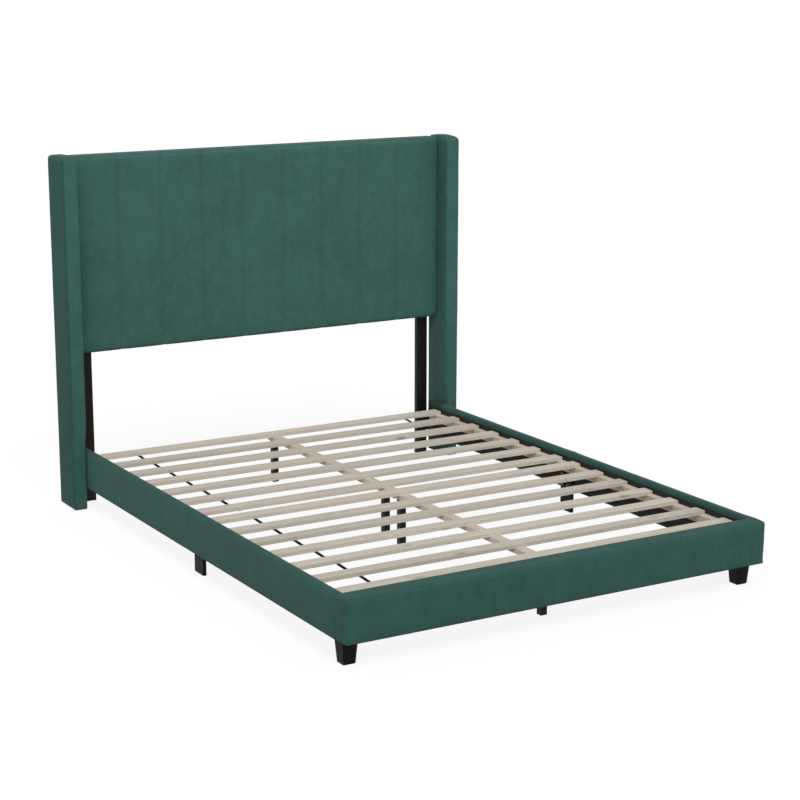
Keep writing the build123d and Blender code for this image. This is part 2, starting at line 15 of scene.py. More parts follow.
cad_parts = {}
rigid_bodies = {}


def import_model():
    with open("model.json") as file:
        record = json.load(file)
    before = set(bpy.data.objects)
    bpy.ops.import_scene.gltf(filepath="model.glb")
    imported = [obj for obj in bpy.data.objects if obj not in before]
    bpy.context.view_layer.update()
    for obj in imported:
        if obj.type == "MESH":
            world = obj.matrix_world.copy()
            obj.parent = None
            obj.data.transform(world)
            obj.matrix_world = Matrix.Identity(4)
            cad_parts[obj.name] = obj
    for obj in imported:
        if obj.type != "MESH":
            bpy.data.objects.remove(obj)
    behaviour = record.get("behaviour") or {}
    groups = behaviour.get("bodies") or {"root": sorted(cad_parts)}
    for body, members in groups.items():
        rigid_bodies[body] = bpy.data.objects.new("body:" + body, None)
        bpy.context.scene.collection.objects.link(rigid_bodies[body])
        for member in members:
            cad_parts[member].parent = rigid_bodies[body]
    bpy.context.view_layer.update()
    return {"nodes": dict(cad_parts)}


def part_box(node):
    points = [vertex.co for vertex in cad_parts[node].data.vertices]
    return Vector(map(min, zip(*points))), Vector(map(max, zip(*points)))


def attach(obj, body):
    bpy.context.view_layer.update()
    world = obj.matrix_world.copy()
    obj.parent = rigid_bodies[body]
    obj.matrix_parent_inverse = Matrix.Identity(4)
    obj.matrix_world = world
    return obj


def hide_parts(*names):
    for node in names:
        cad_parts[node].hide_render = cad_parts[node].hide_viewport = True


bl_info = {
    "name": "Wingback bed",
    "version": (1, 0, 0),
    "blender": (4, 5, 0),
    "location": "3D View > Sidebar > Bed",
    "description": "Dresses the frame of a velvet wingback bed with pads, linings and straps",
    "category": "Object",
}

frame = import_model()

ACROSS = 0
ALONG = 1
UPWARD = 2
SIDES = {"left": -1, "right": 1}
HALVES = ("foot", "head")
SLAT_NUMBERS = {"foot": range(1, 8), "head": range(8, 15)}

SIMULATED_FRAMES = 20
PAD_PRESSURE = 4.0
SOFT_ANGLE = math.radians(40)
SAME_PLACE = 0.0004
LINING_THICKNESS = 0.0008
STRAP_WIDTH = 0.013
STAPLE_LENGTH = 0.011
STAPLE_WIDTH = 0.0011
STAPLE_HEIGHT = 0.0006
STAPLE_INSET = 0.008
INNER_WOOD = (0.50, 0.36, 0.22)
INNER_PLYWOOD = (0.56, 0.42, 0.27)
WHITE = (1.0, 1.0, 1.0, 1.0)
SUN_FROM = (-0.30, -0.75, 1.0)
CAMERA_PLACE = (-3.4746, -5.9408, 2.0950)
CAMERA_TURN = (90 - 12.844, -0.027, -30.4965)
CAMERA_LENS = 88.38


# Settings that a user would change

class BedSizes(bpy.types.PropertyGroup):
    """Sizes of the upholstery"""

    channel_pitch: FloatProperty(
        name="Channel pitch", default=0.1754, unit="LENGTH",
        description="Distance between two seams of the headboard",
    )
    channel_seams: IntProperty(
        name="Channel seams", default=8, min=1,
        description="Number of seams sewn down the headboard",
    )
    seam_depth: FloatProperty(
        name="Seam depth", default=0.0042, unit="LENGTH",
        description="How far a channel seam pulls the velvet in",
    )
    seam_width: FloatProperty(
        name="Seam width", default=0.0080, unit="LENGTH",
        description="Width over which a channel seam pulls the velvet in",
    )
    panel_rounding: FloatProperty(
        name="Panel rounding", default=0.018, unit="LENGTH",
        description="Radius of the headboard's top front edge",
    )
    panel_corner: FloatProperty(
        name="Panel corner", default=0.022, unit="LENGTH",
        description="Radius of the headboard's lower corners, seen from the front",
    )
    wing_rounding: FloatProperty(
        name="Wing rounding", default=0.014, unit="LENGTH",
        description="Radius of the wings' top edges",
    )
    rail_rounding: FloatProperty(
        name="Rail rounding", default=0.010, unit="LENGTH",
        description="Radius of the side rails' top edges",
    )
    footboard_rounding: FloatProperty(
        name="Footboard rounding", default=0.018, unit="LENGTH",
        description="Radius of the footboard's top front edge",
    )
    swell: FloatProperty(
        name="Swell", default=0.0025, unit="LENGTH",
        description="How far the headboard's channels swell out between their seams",
    )
    wing_crown: FloatProperty(
        name="Wing crown", default=0.010, unit="LENGTH",
        description="How far the middle of a wing's top stands above its edges",
    )
    wing_swell: FloatProperty(
        name="Wing swell", default=0.009, unit="LENGTH",
        description="How far a wing's front edge swells inwards, past its part behind",
    )
    footboard_tuck: FloatProperty(
        name="Footboard tuck", default=0.004, unit="LENGTH",
        description="How far the footboard's ends draw in at the bottom, where it turns under",
    )
    strap_sag: FloatProperty(
        name="Strap sag", default=0.0022, unit="LENGTH",
        description="How far a strap hangs down between two slats",
    )
    staple_pitch: FloatProperty(
        name="Staple pitch", default=0.055, unit="LENGTH",
        description="Distance between two staples of a lining",
    )


class BedColours(bpy.types.PropertyGroup):
    """Colours of the bed's finishes"""

    velvet: FloatVectorProperty(
        name="Velvet", default=(0.0252, 0.0860, 0.0720), subtype="COLOR",
        description="Velvet of the rails and the footboard",
    )
    # Painted light: a paler copy of the rails' velvet, for the brighter light on the headboard.
    panel_velvet: FloatVectorProperty(
        name="Panel velvet", default=(0.0385, 0.1125, 0.0955), subtype="COLOR",
        description="Velvet of the headboard, whose nap lies the other way and looks paler",
    )
    # Painted light: a paler copy of the rails' velvet, for the brighter light on the wings.
    wing_velvet: FloatVectorProperty(
        name="Wing velvet", default=(0.0388, 0.1165, 0.1005), subtype="COLOR",
        description="Velvet of the wings, brushed upwards and so a little paler",
    )
    slat_wood: FloatVectorProperty(
        name="Slat wood", default=(0.521, 0.471, 0.396), subtype="COLOR",
        description="Pale planed poplar of the slats, ledgers and beam",
    )
    black_lacquer: FloatVectorProperty(
        name="Black lacquer", default=(0.006, 0.0056, 0.0056), subtype="COLOR",
        description="Satin lacquer of the legs and posts",
    )
    lining: FloatVectorProperty(
        name="Lining", default=(0.020, 0.021, 0.020), subtype="COLOR",
        description="Thin non-woven lining inside the rails and on the back",
    )
    steel: FloatVectorProperty(
        name="Steel", default=(0.16, 0.162, 0.166), subtype="COLOR",
        description="Dull zinc plated steel of brackets, bolts and staples",
    )


# Work on one piece

def deselect_all():
    for item in bpy.context.view_layer.objects:
        item.select_set(False)


def make_active(piece):
    deselect_all()
    piece.select_set(True)
    bpy.context.view_layer.objects.active = piece


def new_block(name, low, high):
    """Add a cube primitive that fills the box, with its place in its mesh."""
    deselect_all()
    low = Vector(low)
    high = Vector(high)
    bpy.ops.mesh.primitive_cube_add(size=1, location=(low + high) / 2, scale=high - low)
    piece = bpy.context.active_object
    piece.name = name
    piece.data.name = name
    bpy.ops.object.transform_apply(location=True, rotation=True, scale=True)
    return piece


def start_edit(piece):
    make_active(piece)
    bpy.ops.object.mode_set(mode="EDIT")
    bpy.ops.mesh.select_all(action="SELECT")


def stop_edit():
    bpy.ops.object.mode_set(mode="OBJECT")


def pick(piece, kind, wanted):
    """Select, in edit mode, the parts that pass the test.

    Kind is EDGE or FACE. The test gets a part's middle and its direction or normal.
    """
    bpy.ops.mesh.select_mode(type=kind)
    bpy.ops.mesh.select_all(action="DESELECT")
    shape = bmesh.from_edit_mesh(piece.data)
    found = 0
    for part in shape.edges if kind == "EDGE" else shape.faces:
        if kind == "EDGE":
            start, end = (point.co for point in part.verts)
            passes = wanted((start + end) / 2, (end - start).normalized())
        else:
            passes = wanted(part.calc_center_median(), part.normal)
        if passes:
            part.select_set(True)
            found += 1
    bmesh.update_edit_mesh(piece.data)
    if not found:
        raise RuntimeError(f"{piece.name}: none of its parts passes the test")


def apply_modifier(piece, modifier):
    make_active(piece)
    bpy.ops.object.modifier_apply(modifier=modifier.name)


def round_edges(piece, width, share_of, segments=5):
    """Bevel each edge by its own share of the width; share_of gets its middle and direction."""
    points = piece.data.vertices
    weights = piece.data.attributes.new("bevel_weight_edge", "FLOAT", "EDGE")
    for edge in piece.data.edges:
        start = points[edge.vertices[0]].co
        end = points[edge.vertices[1]].co
        weights.data[edge.index].value = share_of((start + end) / 2, (end - start).normalized())
    bevel = piece.modifiers.new("rounding", "BEVEL")
    bevel.limit_method = "WEIGHT"
    bevel.width = width
    bevel.segments = segments
    bevel.use_clamp_overlap = False
    apply_modifier(piece, bevel)
    piece.data.attributes.remove(piece.data.attributes["bevel_weight_edge"])


def on_axis(axis, value, others=0.0):
    """Three numbers: the value on one axis and others on the other two."""
    numbers = [others, others, others]
    numbers[axis] = value
    return numbers


def cut_across(piece, axis, places):
    """Bisect the whole piece at each place along an axis."""
    start_edit(piece)
    for place in places:
        bpy.ops.mesh.select_all(action="SELECT")
        bpy.ops.mesh.bisect(plane_co=on_axis(axis, place), plane_no=on_axis(axis, 1.0))
    stop_edit()


def even_places(low, high, pitch):
    """Places between low and high, evenly spaced at about the pitch, both ends left out."""
    count = max(1, round((high - low) / pitch))
    return [low + (high - low) * step / count for step in range(1, count)]


def plump(piece, reach, is_held):
    """Swell a pad by a short cloth simulation; no point ends further than reach from its start."""
    before = [point.co.copy() for point in piece.data.vertices]
    held = piece.vertex_groups.new(name="held")
    fixed = [point.index for point in piece.data.vertices if is_held(point.co)]
    if len(fixed) == len(before):
        raise RuntimeError(f"{piece.name}: all of it is held, so it can't swell")
    held.add(fixed, 1.0, "REPLACE")
    cloth = piece.modifiers.new("swelling", "CLOTH")
    cloth.settings.vertex_group_mass = held.name
    cloth.settings.use_pressure = True
    cloth.settings.uniform_pressure_force = PAD_PRESSURE
    cloth.settings.effector_weights.gravity = 0.0
    cloth.collision_settings.use_collision = False
    cloth.collision_settings.use_self_collision = False
    cloth.point_cache.frame_start = 1
    cloth.point_cache.frame_end = SIMULATED_FRAMES
    for moment in range(1, SIMULATED_FRAMES + 1):
        bpy.context.scene.frame_set(moment)
    apply_modifier(piece, cloth)
    bpy.context.scene.frame_set(1)
    for point, start in zip(piece.data.vertices, before):
        step = point.co - start
        length = step.length
        if not math.isfinite(length):
            raise RuntimeError(f"{piece.name}: its simulation failed")
        if length > 0:
            point.co = start + step * (reach * math.tanh(length / reach) / length)
    piece.vertex_groups.remove(piece.vertex_groups["held"])


def press(piece, depth_at):
    """Move each point inwards along its normal by the depth that its place gives."""
    points = piece.data.vertices
    moves = [point.normal * depth_at(point.co, point.normal) for point in points]
    for point, move in zip(points, moves):
        point.co = point.co - move


def subdivide_smooth(piece):
    rounding = piece.modifiers.new("smoothing", "SUBSURF")
    rounding.levels = 1
    rounding.render_levels = 1
    apply_modifier(piece, rounding)
    bpy.ops.object.shade_smooth()


def smooth_softly(piece):
    make_active(piece)
    bpy.ops.object.shade_smooth_by_angle(angle=SOFT_ANGLE)


def copy_of(piece):
    """A copy with its own mesh, selected and active."""
    make_active(piece)
    bpy.ops.object.duplicate(linked=False)
    return bpy.context.active_object


def mirrored_copy(piece, name):
    """Copy a finished piece to the other side of the bed, with its faces still outwards."""
    twin = copy_of(piece)
    twin.name = name
    twin.data.name = name
    start_edit(twin)
    bpy.ops.transform.resize(value=(-1, 1, 1), center_override=(0, 0, 0))
    bpy.ops.mesh.normals_make_consistent(inside=False)
    stop_edit()
    return twin


def copies_joined(piece, moves):
    """Copy a piece by each move and join the copies into it."""
    twins = []
    for move in moves:
        twins.append(copy_of(piece))
        bpy.ops.transform.translate(value=move)
    make_active(piece)
    for twin in twins:
        twin.select_set(True)
    bpy.ops.object.join()
    bpy.ops.object.transform_apply(location=True, rotation=True, scale=True)


def bump_of(distance, width):
    """A soft bell, 1 at no distance, for seams and puckers."""
    return math.exp(-((distance / width) ** 2))


# Materials

class NodeWork:
    """The nodes of a material or world"""

    def __init__(self, owner):
        owner.use_nodes = True
        self.nodes = owner.node_tree.nodes
        self.links = owner.node_tree.links

    def put(self, value, socket):
        """Link an output to the socket, or set a plain value on it."""
        if isinstance(value, bpy.types.NodeSocket):
            self.links.new(value, socket)
        else:
            socket.default_value = value

    def feed(self, node, **inputs):
        for name, value in inputs.items():
            self.put(value, node.inputs[name.replace("_", " ")])

    def add(self, kind, **inputs):
        node = self.nodes.new(kind)
        self.feed(node, **inputs)
        return node

    def math(self, operation, *values):
        node = self.nodes.new("ShaderNodeMath")
        node.operation = operation
        for socket, value in zip(node.inputs, values):
            self.put(value, socket)
        return node.outputs["Value"]

    def seen_rays(self):
        """1 for rays from the camera, also in reflections and through glass; 0 for light."""
        rays = self.nodes.new("ShaderNodeLightPath").outputs
        seen = self.math("MAXIMUM", rays["Is Camera Ray"], rays["Is Glossy Ray"])
        return self.math("MAXIMUM", seen, rays["Is Transmission Ray"])

    def show_mix(self, share, first, second, output):
        """Mix two shaders and show them on the surface."""
        mixer = self.nodes.new("ShaderNodeMixShader")
        for socket, value in zip(mixer.inputs, (share, first, second)):
            self.put(value, socket)
        self.feed(self.nodes[output], Surface=mixer.outputs[0])


class Finish(NodeWork):
    """A material whose patterns read Object coordinates"""

    def __init__(self, name):
        self.material = bpy.data.materials.new(name)
        super().__init__(self.material)
        self.shader = self.nodes["Principled BSDF"]
        self.place = self.nodes.new("ShaderNodeTexCoord").outputs["Object"]

    def finished(self, **inputs):
        """Feed the shader, and return the material."""
        self.feed(self.shader, **inputs)
        return self.material

    def stretched(self, scale, place=None):
        place = place or self.place
        return self.add("ShaderNodeMapping", Vector=place, Scale=scale).outputs["Vector"]

    def texture(self, kind, scale, place=None, **inputs):
        place = place or self.place
        return self.add(f"ShaderNodeTex{kind}", Vector=place, Scale=scale, **inputs)

    def noise(self, scale, detail=3.0, roughness=0.55, distortion=0.0, place=None):
        """Noise of one scale, or stretched by a scale for each axis."""
        if not isinstance(scale, float):
            place = self.stretched(scale, place)
            scale = 1.0
        details = {"Detail": detail, "Roughness": roughness, "Distortion": distortion}
        return self.texture("Noise", scale, place, **details).outputs["Fac"]

    def waves(self, direction, scale, distortion=0.0):
        node = self.texture("Wave", scale, Distortion=distortion)
        node.bands_direction = direction
        return node.outputs

    def tones(self, factor, colour, *stops):
        """Shades of one colour along a factor; a stop is its place and the shade's brightness."""
        node = self.add("ShaderNodeValToRGB", Fac=factor)
        band = node.color_ramp
        for _ in stops[2:]:
            band.elements.new(0.5)
        for element, (position, bright) in zip(band.elements, stops):
            element.position = position
            element.color = (*shade(colour, bright), 1.0)
        return node.outputs["Color"]

    def span(self, value, to_low, to_high, low=0.3, high=0.7):
        """Map low to high onto to_low to to_high."""
        node = self.add("ShaderNodeMapRange", Value=value, From_Min=low, From_Max=high)
        self.feed(node, To_Min=to_low, To_Max=to_high)
        return node.outputs["Result"]

    def mixed(self, factor, first, second, blend="MIX"):
        node = self.nodes.new("ShaderNodeMix")
        node.data_type = "RGBA"
        node.blend_type = blend
        for index, value in ((0, factor), (6, first), (7, second)):
            plain = isinstance(value, tuple)
            self.put((*value, 1.0) if plain else value, node.inputs[index])
        return node.outputs[2]

    def times(self, first, second):
        """One colour multiplied by another, or by a brightness."""
        return self.mixed(1.0, first, second, blend="MULTIPLY")

    def bump(self, height, strength, distance, under=None):
        node = self.add("ShaderNodeBump", Height=height, Strength=strength, Distance=distance)
        if under:
            self.feed(node, Normal=under)
        return node.outputs["Normal"]


def clamped(value, least=0.0):
    return min(1.0, max(least, value))


def share_between(value, start, end):
    """0 at start, 1 at end, eased in between."""
    part = clamped((value - start) / (end - start))
    return part * part * (3 - 2 * part)


def shade(colour, factor):
    return tuple(min(1.0, part * factor) for part in colour)


def tinted(colour, tint):
    return tuple(part * share for part, share in zip(colour, tint))


def velvet_finish(name, colour, lies, seam_pitch=None, side_place=None):
    """Short dense pile: slow cloudy patches, brushed smudges and fine fibres.

    Painted light: the colour is a little paler towards the top, and each of the lies darkens it
    with painted shade. Each of the lies is an axis, two places along it and the brightness at
    each.
    Across the bed a place is a distance from the middle. A thin painted shade runs down the
    creases, half a seam_pitch from the middle and then every seam_pitch. Beyond the shaded side's
    place the colour takes a darker, greener painted shade.
    """
    finish = Finish(name)
    parts = finish.add("ShaderNodeSeparateXYZ", Vector=finish.place).outputs
    # Painted light: paler towards the top and darker towards the floor, then painted shade along
    # each of the lies.
    painted_light = finish.span(parts["Z"], 0.93, 1.06, 0.1, 1.3)
    for axis, first, second, bright, shade_at_end in lies:
        reach = parts[axis]
        if axis == ACROSS:
            reach = finish.math("ABSOLUTE", reach)
        painted_light = finish.math("MULTIPLY", painted_light, finish.span(reach, bright, shade_at_end, first, second))
    # Painted shade down the middle of each seam's crease.
    if seam_pitch:
        step = finish.math("FRACT", finish.math("DIVIDE", parts["X"], seam_pitch))
        beside = finish.math("ABSOLUTE", finish.math("SUBTRACT", step, 0.5))
        painted_light = finish.math("MULTIPLY", painted_light, finish.span(beside, 0.91, 1.0, 0.005, 0.018))
    clouds = finish.noise(4.5, 3.0, 0.5, 0.4)
    smudges = finish.noise(34.0, 5.0, 0.62, 0.9)
    brushed = finish.noise((38.0, 38.0, 9.0), 4.0)
    fibres = finish.noise(1500.0, 2.0, 0.7)
    blend = finish.math("MULTIPLY", smudges, 0.48)
    streaks = finish.math("MULTIPLY", brushed, 0.22)
    pile = finish.math("MULTIPLY_ADD", clouds, 0.30, finish.math("ADD", blend, streaks))
    tone = finish.tones(pile, colour, (0.36, 0.82), (0.5, 1.0), (0.64, 1.20))
    fibres_and_painted_light = finish.math("MULTIPLY", finish.span(fibres, 0.9, 1.1), painted_light)
    pile_and_painted_light = finish.times(tone, fibres_and_painted_light)
    # Painted shade on the side faces past that place: a darker, greener copy of the colour.
    if side_place:
        side = finish.math("ABSOLUTE", parts["X"])
        share = finish.span(side, 0.0, 1.0, side_place - 0.010, side_place - 0.001)
        pile_and_painted_light = finish.mixed(share, pile_and_painted_light, finish.times(pile_and_painted_light, (0.30, 0.56, 0.55)))
    nap = finish.bump(finish.noise(85.0, 3.0), 0.22, 0.0016)
    return finish.finished(
        Base_Color=pile_and_painted_light,
        Roughness=finish.span(smudges, 0.82, 0.95),
        Specular_IOR_Level=0.18,
        Sheen_Weight=0.07,
        Sheen_Roughness=0.60,
        Sheen_Tint=(0.75, 0.92, 0.88, 1.0),
        Normal=finish.bump(fibres, 0.35, 0.0005, under=nap),
    )


def planed_wood_finish(
    name, colour, grain_axis, cell_axis, cell_start, cell_pitch, face=None, sawn=1.12
):
    """Pale planed poplar: grain along one axis, each board with its own tone, patches, knots.

    Below face, the height of the boards' planed tops, the side faces get painted light: they are
    paler by the edge factor.
    """
    finish = Finish(name)
    parts = finish.add("ShaderNodeSeparateXYZ", Vector=finish.place).outputs
    board = finish.math("SUBTRACT", parts[cell_axis], cell_start)
    board = finish.math("FLOOR", finish.math("DIVIDE", board, cell_pitch))
    dice = finish.nodes.new("ShaderNodeTexWhiteNoise")
    dice.noise_dimensions = "1D"
    finish.feed(dice, W=board)
    chance = dice.outputs["Value"]
    moved = finish.nodes.new("ShaderNodeCombineXYZ")
    for axis in range(3):
        finish.put(parts[axis], moved.inputs[axis])
    shift = finish.math("MULTIPLY", chance, 7.0)
    finish.put(finish.math("ADD", parts[grain_axis], shift), moved.inputs[grain_axis])
    place = moved.outputs["Vector"]
    lines = finish.noise(on_axis(grain_axis, 2.2, 60.0), 4.0, 0.6, 0.6, place)
    fine = finish.noise(on_axis(grain_axis, 9.0, 420.0), 3.0, 0.6, 0.0, place)
    patch = finish.noise(on_axis(grain_axis, 1.6, 9.0), 2.0, 0.5, 0.3, place)
    tone = finish.tones(lines, colour, (0.30, 0.86), (0.50, 1.0), (0.70, 1.10))
    pink = tinted(colour, (1.00, 0.95, 0.92))
    grey = tinted(colour, (0.90, 0.91, 0.92))
    rosy = finish.mixed(finish.span(patch, 0.0, 0.60, 0.50, 0.66), tone, pink)
    aged = finish.mixed(finish.span(patch, 0.0, 0.60, 0.46, 0.32), rosy, grey)
    vein_and_edge_light = finish.span(fine, 0.93, 1.06)
    # Painted light on the side faces below the tops, which lie in shade.
    if face:
        edge = finish.span(parts["Z"], sawn, 1.0, face - 0.0022, face - 0.0004)
        vein_and_edge_light = finish.math("MULTIPLY", vein_and_edge_light, edge)
    # The board's own tone, with the painted light of its side faces.
    own = finish.times(finish.times(aged, vein_and_edge_light), finish.span(chance, 0.90, 1.06, 0, 1))
    knot_place = finish.stretched(on_axis(grain_axis, 3.4, 11.0), place)
    knots = finish.texture("Voronoi", 1.0, knot_place).outputs["Distance"]
    knot = finish.span(knots, 1.0, 0.0, 0.055, 0.10)
    return finish.finished(
        Base_Color=finish.mixed(finish.math("MULTIPLY", knot, 0.55), own, shade(colour, 0.36)),
        Roughness=finish.span(lines, 0.58, 0.74),
        Specular_IOR_Level=0.35,
        Normal=finish.bump(fine, 0.35, 0.0004, under=finish.bump(lines, 0.25, 0.0008)),
    )


def lacquer_finish(name, colour, shine):
    """Satin black lacquer over upright grain, a little worn and dusty."""
    finish = Finish(name)
    grain = finish.noise((160.0, 160.0, 7.0), 4.0, 0.6, 0.5)
    dust = finish.noise(30.0, 5.0, 0.6)
    return finish.finished(
        Base_Color=finish.tones(dust, colour, (0.40, 0.8), (0.62, 1.0), (0.80, 2.0)),
        Roughness=finish.span(grain, 0.40, 0.56),
        Specular_IOR_Level=shine,
        Normal=finish.bump(grain, 0.22, 0.0005),
    )


def zinc_finish(name, colour):
    """Zinc plate with faint crystals and fine scratches."""
    finish = Finish(name)
    crystals = finish.texture("Voronoi", 190.0).outputs["Color"]
    scratches = finish.noise((900.0, 60.0, 60.0), 4.0, 0.6, 0.2)
    dull = shade(colour, 0.74)
    return finish.finished(
        Base_Color=finish.mixed(finish.span(crystals, 0.0, 0.5, 0.0, 1.0), colour, dull),
        Metallic=1.0,
        Roughness=finish.span(scratches, 0.44, 0.60),
        Normal=finish.bump(scratches, 0.12, 0.0002),
    )


def powder_finish(name, colour):
    """Black powder coat with a fine orange-peel surface."""
    finish = Finish(name)
    grains = finish.noise(900.0, 3.0, 0.6)
    dust = finish.noise(40.0, 4.0, 0.6)
    return finish.finished(
        Base_Color=finish.tones(dust, colour, (0.4, 0.8), (0.75, 1.7)),
        Roughness=finish.span(grains, 0.48, 0.64),
        Specular_IOR_Level=0.25,
        Normal=finish.bump(grains, 0.3, 0.0002),
    )


def lining_finish(name, colour):
    """Thin non-woven cloth: random fibres pressed with rows of small dots."""
    finish = Finish(name)
    fibres = finish.noise(700.0, 4.0, 0.7, 1.2)
    creases = finish.noise(14.0, 4.0, 0.6, 0.8)
    dots = finish.texture("Voronoi", 620.0, Randomness=0.25).outputs["Distance"]
    pressed = finish.span(dots, 0.0, 1.0, 0.15, 0.42)
    return finish.finished(
        Base_Color=finish.tones(fibres, colour, (0.35, 0.7), (0.5, 1.0), (0.68, 1.9)),
        Roughness=finish.span(fibres, 0.75, 0.95),
        Specular_IOR_Level=0.25,
        Normal=finish.bump(pressed, 0.5, 0.0003, under=finish.bump(creases, 0.4, 0.004)),
    )


def webbing_finish(name, colour):
    """Black woven strap: warp ribs along it, weft across."""
    finish = Finish(name)
    warp = finish.waves("X", 420.0)["Fac"]
    weft = finish.waves("Y", 300.0)["Fac"]
    weave = finish.math("MULTIPLY", warp, weft)
    fuzz = finish.noise(900.0, 3.0)
    return finish.finished(
        Base_Color=finish.tones(weave, colour, (0.0, 0.3), (0.6, 0.6), (1.0, 1.2)),
        Roughness=finish.span(fuzz, 0.7, 0.9),
        Specular_IOR_Level=0.08,
        Normal=finish.bump(weave, 0.7, 0.0005),
    )


def sawn_board_finish(name, colour, grain_axis):
    """Plain wood, rough from the saw, hidden inside the covers."""
    finish = Finish(name)
    grain = finish.noise(on_axis(grain_axis, 3.0, 70.0), 5.0, 0.6, 0.8)
    saw = finish.noise(420.0, 2.0)
    return finish.finished(
        Base_Color=finish.tones(grain, colour, (0.32, 0.7), (0.5, 1.0), (0.7, 1.2)),
        Roughness=finish.span(saw, 0.7, 0.9),
        Normal=finish.bump(saw, 0.3, 0.0005, under=finish.bump(grain, 0.3, 0.001)),
    )


def plywood_finish(name, colour):
    """Plywood: veneer figure on its faces, dark and pale plies on its edges."""
    finish = Finish(name)
    figure = finish.noise((3.0, 40.0, 14.0), 4.0, 0.6, 1.6)
    plies = finish.waves("Y", 130.0, 0.3)["Color"]
    tone = finish.tones(figure, colour, (0.3, 0.8), (0.7, 1.15))
    return finish.finished(
        Base_Color=finish.mixed(0.25, tone, plies, blend="MULTIPLY"),
        Roughness=finish.span(figure, 0.65, 0.85),
        Normal=finish.bump(figure, 0.2, 0.0006),
    )


def shared(make, name, *details, **more):
    """The material of that name, made the first time it is asked for."""
    return bpy.data.materials.get(name) or make(name, *details, **more)


def colour_of(name):
    return tuple(getattr(bpy.context.scene.bed_colours, name))


def painted_top_shade(node, shade_at_end):
    """Painted shade on a padded piece's top, darker towards its upper edge."""
    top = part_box(node)[1].z
    return (UPWARD, top - 0.010, top - 0.002, 1.0, shade_at_end)


def velvet(name="rail_velvet", shade_at_end=0.82, tone=1.0):
    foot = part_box("footboard_cover")[0].z
    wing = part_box("wing_cover_right")[0].y
    lies = (
        painted_top_shade("footboard_cover", shade_at_end),
        # Painted shade along the bottom edge, which faces the floor.
        (UPWARD, foot + 0.001, foot + 0.010, 0.70, 1.0),
        # Painted shadow on the rails just before they pass behind the wings' fronts.
        (ALONG, wing - 0.016, wing - 0.002, 1.0, 0.45),
    )
    # A tone below 1 makes a darker copy of the velvet: painted shade.
    return shared(velvet_finish, name, shade(colour_of("velvet"), tone), lies)


def panel_velvet():
    # Painted shade on the top, and down the seams' creases through the seam pitch.
    lies = (painted_top_shade("headboard_cover", 0.78),)
    pitch = bpy.context.scene.bed_sizes.channel_pitch
    return shared(velvet_finish, "panel_velvet", colour_of("panel_velvet"), lies, pitch)


def wing_velvet():
    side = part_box("wing_cover_right")[1].x
    # Painted shade: darker towards the floor, on the top and on the outer side.
    lies = ((UPWARD, 0.15, 0.75, 0.86, 1.0), painted_top_shade("wing_cover_right", 0.72))
    return shared(velvet_finish, "wing_velvet", colour_of("wing_velvet"), lies, side_place=side)


def zinc():
    return shared(zinc_finish, "zinc_plate", colour_of("steel"))


def coat(piece, material):
    """Give a new piece its one material."""
    piece.data.materials.append(material)


def both_sides(kind):
    return [f"{kind}_{side}" for side in SIDES]


def all_halves(kind):
    return [f"{name}_{half}" for name in both_sides(kind) for half in HALVES]


def coat_nodes(names, material):
    """Put the material in every slot of the named CAD nodes."""
    for name in names:
        node = frame["nodes"][name]
        if not node.material_slots:
            node.data.materials.append(material)
        for slot in node.material_slots:
            slot.material = material


# Pads

def pad_start(node, trims):
    """The box of a cover with its swelling sides moved in; trims are low and high per axis."""
    low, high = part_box(node)
    low = [value + trim for value, trim in zip(low, trims[0])]
    high = [value - trim for value, trim in zip(high, trims[1])]
    return Vector(low), Vector(high)


def near(value, place):
    return abs(value - place) < SAME_PLACE


def slack_at(co, height, grain):
    """A slow unevenness of the stuffing, from -height to height."""
    return height * noise.noise(co * grain)


def headboard_pad_piece():
    sizes = bpy.context.scene.bed_sizes
    low, high = pad_start("headboard_cover", ((0, sizes.swell, 0), (0, 0, 0)))
    piece = new_block("headboard_pad", low, high)
    front = low.y
    start_edit(piece)
    pick(piece, "EDGE", lambda mid, way: abs(way.y) > 0.9 and near(mid.z, low.z))
    bpy.ops.mesh.bevel(offset=sizes.panel_corner, segments=6, affect="EDGES")
    pick(piece, "FACE", lambda mid, normal: normal.y > 0.9)
    bpy.ops.mesh.inset(thickness=0.0300)
    bpy.ops.mesh.inset(thickness=0.0008, depth=-0.0017)
    stop_edit()

    def rounding(mid, way):
        top = near(mid.z, high.z)
        if near(mid.y, front):
            return 1.0 if top else 0.6
        if abs(way.y) > 0.9 and top:
            return 0.6
        outer = near(abs(mid.x), high.x) or top or near(mid.z, low.z)
        return 0.15 if near(mid.y, high.y) and outer and abs(way.y) < 0.1 else 0.0

    round_edges(piece, sizes.panel_rounding, rounding)
    spread = (0.0022, 0.0045, 0.0075, 0.012, 0.019, 0.030, 0.045, 0.064)
    cuts = [-sizes.channel_pitch * 4.5 + step * sizes.channel_pitch for step in range(10)]
    first = -(sizes.channel_seams - 1) / 2
    seams = [(first + step) * sizes.channel_pitch for step in range(sizes.channel_seams)]
    for seam in seams:
        cuts.append(seam)
        for offset in spread:
            cuts.extend((seam - offset, seam + offset))
    limit = high.x - 0.014
    cut_across(piece, ACROSS, sorted(place for place in cuts if abs(place) < limit))
    cut_across(piece, UPWARD, even_places(low.z + 0.014, high.z - 0.020, 0.024))

    def is_held(co):
        on_seam = min(abs(co.x - seam) for seam in seams) < 0.0035
        return on_seam or co.y > front + 0.012 or abs(co.x) > high.x - 0.006

    plump(piece, sizes.swell, is_held)

    def depth(co, normal):
        nearest = min(abs(co.x - seam) for seam in seams)
        fading = clamped((front + 0.017 - co.y) / 0.010)
        low_fading = clamped((co.z - low.z) / 0.02, 0.25)
        pulled = sizes.seam_depth * bump_of(nearest, sizes.seam_width) * fading * low_fading
        side_line = 0.0016 * bump_of(high.x - abs(co.x), 0.014) * fading
        return pulled + side_line + slack_at(co, 0.0005, 9.0) * fading

    press(piece, depth)
    subdivide_smooth(piece)
    return piece


